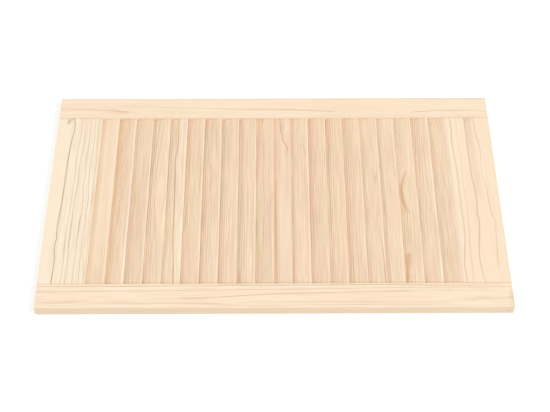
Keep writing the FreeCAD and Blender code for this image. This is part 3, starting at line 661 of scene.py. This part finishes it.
def patchTones(tree, board, spot):
    ragAcross = streaks(tree, board, spot, board["ragAcross"], -board["ragAcrossBy"], board["ragAcrossBy"])
    ragAlong = streaks(tree, board, spot, board["ragAlong"], -board["ragAlongBy"], board["ragAlongBy"])
    rag = addNode(tree, "ShaderNodeCombineXYZ", {0: ragAcross, 1: ragAlong})[0]
    ragged = addNode(tree, "ShaderNodeVectorMath", {0: spot["face"], 1: rag}, operation="ADD")[0]
    edgeStart, edgeEnd = board["patchEdge"]
    tones = []
    for patch in board["patches"]:
        middleAlong, middleAcross = patch["middle"]
        halfAlong, halfAcross = patch["halfSize"]
        inPatch = addNode(tree, "ShaderNodeMapping", {
            "Vector": ragged,
            "Location": (middleAcross, middleAlong, 0),
            "Rotation": (0, 0, math.radians(patch["turn"])),
            "Scale": (halfAcross, halfAlong, board["patchDepth"]),
        }, vector_type="TEXTURE")[0]
        out = addNode(tree, "ShaderNodeVectorMath", {0: inPatch}, operation="LENGTH")["Value"]
        share = addNode(tree, "ShaderNodeMapRange", {
            "Value": out, "From Min": edgeStart, "From Max": edgeEnd, "To Max": patch["strength"],
        }, interpolation_type="SMOOTHSTEP")[0]
        tones.append((share, patch["tone"]))
    return tones


def edgeTones(tree, board, spot, size):
    # paler where the sander took down the edges, and on the slats' noses a painted highlight
    width, thickness = size[1:]
    wornAndHighlight = board["arrisPaleAndHighlight"]
    for direction, middle, span in (("across", board["middle"] * width, width),
                                    ("height", -thickness / 2, thickness)):
        off = addNode(tree, "ShaderNodeMath", {0: spot[direction], 1: middle}, operation="SUBTRACT")[0]
        off = addNode(tree, "ShaderNodeMath", {0: off}, operation="ABSOLUTE")[0]
        wornAndHighlight = addNode(tree, "ShaderNodeMapRange", {
            "Value": off, "From Min": span / 2 - board["arris"], "From Max": span / 2, "To Max": wornAndHighlight,
        }, interpolation_type="SMOOTHSTEP")[0]
    return [(wornAndHighlight, "ivory")]


def lapTones(tree, board, spot):
    # painted shade, browner where the slat above begins to cover it
    tail = addNode(tree, "ShaderNodeMapRange", {
        "Value": spot["across"], "From Min": board["tail"] - slatPitch, "From Max": -slatPitch,
    }, interpolation_type="SMOOTHSTEP")[0]
    patchy = streaks(tree, board, spot, board["tailGrain"], 0, board["tailShade"])
    tail = addNode(tree, "ShaderNodeMath", {0: tail, 1: patchy}, operation="MULTIPLY")[0]

    # and a painted shade along the left stile, wider where the slat lies deeper
    fromStile = addNode(tree, "ShaderNodeMath", {
        0: spot["across"], 1: board["endSlope"], 2: spot["along"]}, operation="MULTIPLY_ADD")[0]
    endStart, endFull = board["endReach"]
    atStile = addNode(tree, "ShaderNodeMapRange", {
        "Value": fromStile, "From Min": endStart - openingHalf, "From Max": endFull - openingHalf,
        "To Max": board["endBrown"],
    }, interpolation_type="SMOOTHSTEP")[0]

    # paler painted tone, to lift the shade, on top under the slat above and underneath over the slat below
    lapStarts = ((-slatPitch, -board["lapEdge"], "topSide"), (-board["lap"], board["lapEdge"], "underside"))
    paleInShade = []
    for start, edge, side in lapStarts:
        covered = addNode(tree, "ShaderNodeMapRange", {
            "Value": spot["across"], "From Min": start, "From Max": start + edge,
            "To Max": board["paleInShade"]})[0]
        onSide = addNode(tree, "ShaderNodeMapRange", {
            "Value": spot["height"], "From Min": board[side][0], "From Max": board[side][1]})[0]
        paleInShade.append(addNode(tree, "ShaderNodeMath", {0: covered, 1: onSide}, operation="MULTIPLY")[0])
    hidden = addNode(tree, "ShaderNodeMath", {0: paleInShade[0], 1: paleInShade[1]}, operation="MAXIMUM")[0]
    return [(tail, "brown"), (atStile, "brown"), (hidden, "paleInShade")]


def seamTones(tree, board, spot):
    tones = []
    for side, (seamWidth, seamStrength) in board["joints"].items():
        towards = addNode(tree, "ShaderNodeMath", {0: spot["along"], 1: side}, operation="MULTIPLY")[0]
        seamAndShade = addNode(tree, "ShaderNodeMapRange", {
            "Value": towards, "From Min": openingHalf - seamWidth,
            "From Max": openingHalf - seamWidth * board["seamFull"], "To Max": seamStrength,
        }, interpolation_type="SMOOTHSTEP")[0]
        tones.append((seamAndShade, "seamAndShade"))
    return tones


def fibreShades(tree, board, spot, colour, fibre):
    # the fibres lighten the wood half as much as they darken it
    fibreShade = addNode(tree, "ShaderNodeMapRange", {
        "Value": fibre, "To Min": 1 - board["fibreDepth"], "To Max": 1 + board["fibreDepth"] / 2})[0]
    streakShade = streaks(tree, board, spot, board["streak"], 1 - board["streakDepth"],
                          1 + board["streakDepth"], detail=3, soft=board["streakSoft"])
    shade = addNode(tree, "ShaderNodeMath", {0: fibreShade, 1: streakShade}, operation="MULTIPLY")[0]
    if board["calm"]:
        calm = addNode(tree, "ShaderNodeMapRange", {
            "Value": spot["across"], "From Min": board["calm"][0], "From Max": board["calm"][1]})[0]
        shade = addNode(tree, "ShaderNodeMix", {0: calm, 2: shade, 3: 1})[0]
    tinted = addNode(tree, "ShaderNodeVectorMath", {
        0: shade, 1: board["warmth"], 2: [1 - w for w in board["warmth"]]}, operation="MULTIPLY_ADD")[0]
    return addNode(tree, "ShaderNodeMix", {
        0: 1, 6: colour, 7: tinted}, data_type="RGBA", blend_type="MULTIPLY")[2]


def sideTones(tree, board, normal, stile):
    # darker sawn ends, inner sides in a paler, greyer painted tone against their shade, and outer sides
    # darker with painted shade
    facing = addNode(tree, "ShaderNodeSeparateXYZ", {0: normal})
    lengthways, sideways = (facing["X"], facing["Y"]) if stile else (facing["Y"], facing["X"])
    endways = addNode(tree, "ShaderNodeMath", {0: lengthways}, operation="ABSOLUTE")[0]
    inward = addNode(tree, "ShaderNodeMath", {0: sideways, 1: board["inward"]}, operation="MULTIPLY")[0]
    outward = addNode(tree, "ShaderNodeMath", {0: inward, 1: -1}, operation="MULTIPLY")[0]
    turnStart, turnEnd = board["sideTurn"]
    tones = []
    for turned, tone, most in ((endways, "brown", "endShade"), (inward, "paleInShade", "sidePaleInShade"),
                               (outward, "tan", "sideShade")):
        share = addNode(tree, "ShaderNodeMapRange", {
            "Value": turned, "From Min": turnStart, "From Max": turnEnd, "To Max": board[most]})[0]
        tones.append((share, tone))
    return tones


def pineMaterial(name, board, origin, turn, size):
    material = bpy.data.materials.new(name)
    material.use_nodes = True
    tree = material.node_tree
    tree.nodes.clear()

    # mm across the board, along it and up from its face; a stile's are mirrored, so along runs with X
    stile = turn[2] != 0
    coordinates = addNode(tree, "ShaderNodeTexCoord")
    face = addNode(tree, "ShaderNodeMapping", {
        "Vector": coordinates["Object"], "Location": origin, "Rotation": turn,
        "Scale": (mm, -mm if stile else mm, mm),
    }, vector_type="TEXTURE")[0]
    across, along, height = addNode(tree, "ShaderNodeSeparateXYZ", {0: face})
    spot = {"face": face, "across": across, "along": along, "height": height}

    summer, leaning = growthRings(tree, board, spot)
    fibre = streaks(tree, board, spot, board["fibre"], detail=4)
    tones = woodTones(tree, board, spot, summer)
    tones += lineTones(tree, board, spot, leaning, size)
    tones += patchTones(tree, board, spot)
    tones += edgeTones(tree, board, spot, size)
    if board["lapped"]:
        tones += lapTones(tree, board, spot)
    tones += seamTones(tree, board, spot)
    colour = layTones(tree, linear(pineTones[board["tones"][0]]), tones)
    colour = fibreShades(tree, board, spot, colour, fibre)
    colour = layTones(tree, colour, sideTones(tree, board, coordinates["Normal"], stile))

    roughness = addNode(tree, "ShaderNodeMath", {
        0: fibre, 1: board["roughnessVaries"], 2: board["roughness"]}, operation="MULTIPLY_ADD")[0]
    relief = addNode(tree, "ShaderNodeMath", {
        0: fibre, 1: board["fibreRelief"], 2: summer}, operation="MULTIPLY_ADD")[0]
    bump = addNode(tree, "ShaderNodeBump", {
        "Height": relief, "Strength": board["bump"], "Distance": board["relief"] * mm})[0]
    shader = addNode(tree, "ShaderNodeBsdfPrincipled", {
        "Base Color": colour, "Roughness": roughness, "IOR": board["ior"], "Normal": bump})[0]
    addNode(tree, "ShaderNodeOutputMaterial", {"Surface": shader})
    return material


def dress(node, material):
    node.data.materials.clear()
    node.data.materials.append(material)


for name, settings in frameBoards.items():
    low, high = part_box(name)
    spans = (high - low) / mm
    middle = (low + high) / 2
    stile = name.endswith("stile")
    size = (spans.x, spans.y, spans.z) if stile else (spans.y, spans.x, spans.z)
    turn = (0, 0, math.radians(90)) if stile else (0, 0, 0)
    inward = -math.copysign(1, middle.y if stile else middle.x)
    board = {**pineLook, **settings, "inward": inward}
    dress(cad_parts[name],
          pineMaterial(f"sanded_pine_{name}", board, (middle.x, middle.y, high.z), turn, size))
print("frame boards dressed:", len(frameBoards))

# Every slat is measured from its tail, because the last one is square in front.
slatSpans = (firstHigh - firstLow) / mm
slatRadius = slatLook["thickness"] / 2
slatTilt = math.atan2(slatSpans.z - slatLook["thickness"], slatSpans.x - slatLook["thickness"])
slatSize = (slatSpans.y, slatSpans.x / math.cos(slatTilt), slatLook["thickness"])
# mm from a slat's lowest point up to where its face, carried on, passes over the tip of its nose
noseRise = slatSpans.z - slatRadius + slatRadius / math.cos(slatTilt) + slatRadius * math.tan(slatTilt)
for number, settings in slatBoards.items():
    name = f"louvre_slat_{number:02d}"
    low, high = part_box(name)
    board = {**pineLook, **slatLook, **settings, "seed": slatLook["seed"] + number}
    nose = (low.x + slatSpans.x * mm, (low.y + high.y) / 2, low.z + noseRise * mm)
    dress(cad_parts[name],
          pineMaterial(f"sanded_pine_{name}", board, nose, (0, -slatTilt, 0), slatSize))
print("slats dressed:", len(slatBoards))


# Beech dowels, turned and fluted: a pinkish brown, flecked wood with no growth lines to speak of.
beechDowel = {
    "pale": "#E3C19B",
    "dark": "#C99E74",
    "fleck": (0.5, 2.5),        # mm across and along
    "fleckDark": (0.45, 0.7),   # from where to where a fleck darkens
    "roughness": 0.6,
    "ior": 1.5,
    "relief": 0.05,             # mm
    "bump": 0.5,
}


def beechMaterial():
    material = bpy.data.materials.new("turned_beech")
    material.use_nodes = True
    tree = material.node_tree
    tree.nodes.clear()
    place = addNode(tree, "ShaderNodeTexCoord")["Object"]
    fleckAcross, fleckAlong = beechDowel["fleck"]
    stretched = addNode(tree, "ShaderNodeMapping", {
        "Vector": place, "Scale": (1 / fleckAcross / mm, 1 / fleckAlong / mm, 1 / fleckAcross / mm)})[0]
    fleck = addNode(tree, "ShaderNodeTexNoise", {"Vector": stretched, "Scale": 1, "Detail": 3})["Fac"]
    darkStart, darkEnd = beechDowel["fleckDark"]
    share = addNode(tree, "ShaderNodeMapRange", {
        "Value": fleck, "From Min": darkStart, "From Max": darkEnd})[0]
    colour = addNode(tree, "ShaderNodeMix", {
        0: share, 6: linear(beechDowel["pale"]), 7: linear(beechDowel["dark"])}, data_type="RGBA")[2]
    bump = addNode(tree, "ShaderNodeBump", {
        "Height": fleck, "Strength": beechDowel["bump"], "Distance": beechDowel["relief"] * mm})[0]
    shader = addNode(tree, "ShaderNodeBsdfPrincipled", {
        "Base Color": colour, "Roughness": beechDowel["roughness"], "IOR": beechDowel["ior"],
        "Normal": bump})[0]
    addNode(tree, "ShaderNodeOutputMaterial", {"Surface": shader})
    return material


dress(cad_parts["rail_dowels"], beechMaterial())
print("dowels dressed")


# Pale floor and soft light. What the eye sees of the floor is partly its own white, so that it
# stays white in the picture and still takes the door's shadow.
studio = {
    "floorSize": 12,        # m
    "floorGap": 0.0002,     # m under the door's back
    "floorPaint": "#F4F4F4",
    "seenPaint": "#B4B4B4",
    "seenGlow": 0.62,
    "white": "#FFFFFF",
    "dome": 0.57,           # light from all round
    "backdrop": 1,          # white in the picture
    "lamps": [              # places and sizes in m, power in W
        {"name": "soft_key", "place": (7.2, -4.2, 8.64), "size": 6.0, "power": 691},
        {"name": "low_fill", "place": (-6.9, 0, 4.0), "size": 3.2, "power": 130},
    ],
}


def seenDirectly(tree):
    # 1 for what the camera, a reflection or glass shows, 0 for light on its way
    path = addNode(tree, "ShaderNodeLightPath")
    seen = addNode(tree, "ShaderNodeMath", {
        0: path["Is Camera Ray"], 1: path["Is Glossy Ray"]}, operation="MAXIMUM")[0]
    return addNode(tree, "ShaderNodeMath", {
        0: seen, 1: path["Is Transmission Ray"]}, operation="MAXIMUM")[0]


bpy.ops.object.select_all(action="DESELECT")
bpy.ops.mesh.primitive_plane_add(size=studio["floorSize"], location=(0, 0, -studio["floorGap"]))
floor = bpy.context.object
floor.name = "studio_floor"
floorMaterial = bpy.data.materials.new("matt_white_floor")
floorMaterial.use_nodes = True
floorTree = floorMaterial.node_tree
floorTree.nodes.clear()
white = linear(studio["white"])
paint = addNode(floorTree, "ShaderNodeBsdfDiffuse", {"Color": linear(studio["floorPaint"])})[0]
seenPaint = addNode(floorTree, "ShaderNodeBsdfDiffuse", {"Color": linear(studio["seenPaint"])})[0]
glow = addNode(floorTree, "ShaderNodeEmission", {"Color": white, "Strength": studio["seenGlow"]})[0]
seenFloor = addNode(floorTree, "ShaderNodeAddShader", {0: seenPaint, 1: glow})[0]
floorShader = addNode(floorTree, "ShaderNodeMixShader", {
    0: seenDirectly(floorTree), 1: paint, 2: seenFloor})[0]
addNode(floorTree, "ShaderNodeOutputMaterial", {"Surface": floorShader})
dress(floor, floorMaterial)

world = bpy.data.worlds.new("white_studio")
bpy.context.scene.world = world
world.use_nodes = True
worldTree = world.node_tree
worldTree.nodes.clear()
dome = addNode(worldTree, "ShaderNodeBackground", {"Color": white, "Strength": studio["dome"]})[0]
backdrop = addNode(worldTree, "ShaderNodeBackground", {"Color": white, "Strength": studio["backdrop"]})[0]
sky = addNode(worldTree, "ShaderNodeMixShader", {0: seenDirectly(worldTree), 1: dome, 2: backdrop})[0]
addNode(worldTree, "ShaderNodeOutputWorld", {"Surface": sky})

for lamp in studio["lamps"]:
    bpy.ops.object.light_add(type="AREA", location=lamp["place"])
    light = bpy.context.object
    light.name = lamp["name"]
    light.data.size = lamp["size"]
    light.data.energy = lamp["power"]
    light.rotation_euler = (-Vector(lamp["place"])).to_track_quat("-Z", "Y").to_euler()
    light.visible_camera = False
print("studio set")


# The camera looks down along the short side of the door, as the picture was taken.
eye = {
    "place": (-1.4, -1021.1, 1431.7),   # mm
    "pitch": 54.658,                    # degrees below the horizon
    "yaw": 0.159,
    "roll": -0.052,
    "lens": 74.53,                      # mm
    "sensor": 36,                       # mm wide
}
bpy.ops.object.camera_add()
camera = bpy.context.object
camera.name = "picture_camera"
camera.data.sensor_width = eye["sensor"]
camera.data.lens = eye["lens"]
camera.matrix_world = (
    Matrix.Translation(Vector(eye["place"]) * mm)
    @ Matrix.Rotation(math.radians(-eye["yaw"]), 4, "Z")
    @ Matrix.Rotation(math.radians(90 - eye["pitch"]), 4, "X")
    @ Matrix.Rotation(math.radians(eye["roll"]), 4, "Z")
)
bpy.context.scene.camera = camera
bpy.context.scene.view_settings.view_transform = "Standard"
print("camera placed")
